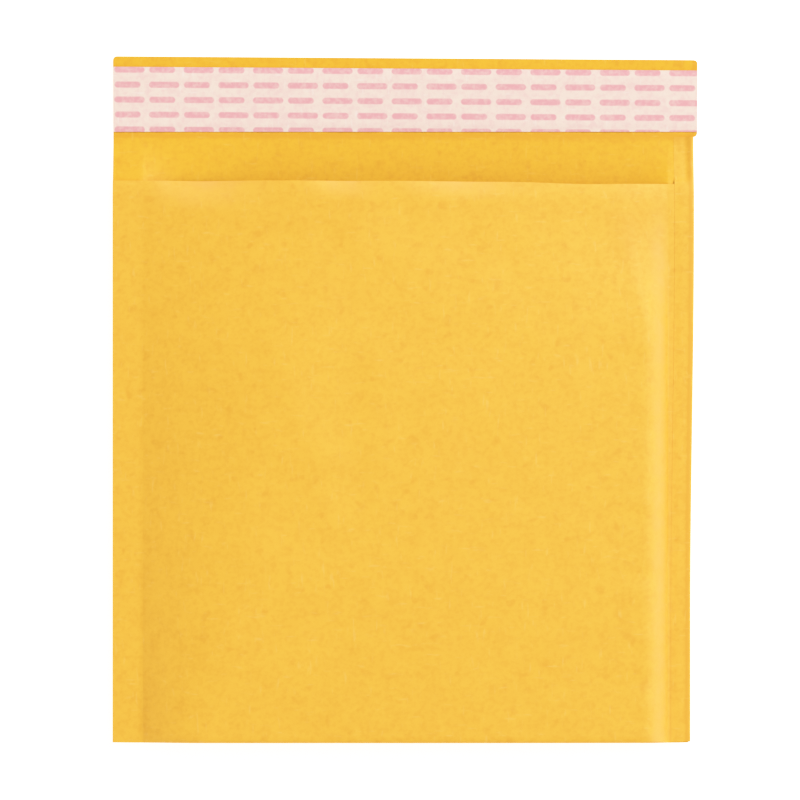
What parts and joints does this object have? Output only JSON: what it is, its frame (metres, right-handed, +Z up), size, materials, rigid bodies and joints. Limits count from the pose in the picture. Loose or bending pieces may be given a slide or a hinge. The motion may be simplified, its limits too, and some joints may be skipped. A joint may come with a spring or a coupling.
{
  "type": "padded envelope",
  "caption": "Golden kraft paper mailer lined with bubble film, lying open with its flap up and a peel-off strip over the adhesive; holds and cushions a flat item in the post.",
  "frame": {"origin": "middle of the bounding box's base, on the surface that the envelope lies on", "axes": "+X across the width, towards the turned-over margin; +Y from the bottom fold to the flap's end; +Z up, out of the front panel"},
  "size_m": [0.1854, 0.2176, 0.0119],
  "materials": {
    "kraft_paper": "matte",
    "bubble_film": "gloss",
    "hot_melt": "satin",
    "liner_paper": "satin"
  },
  "bodies": {
    "root": {"kraft_outer": "kraft_paper", "bubble_lining": "bubble_film", "adhesive_strip": "hot_melt", "release_liner": "liner_paper"}
  },
  "joints": []
}
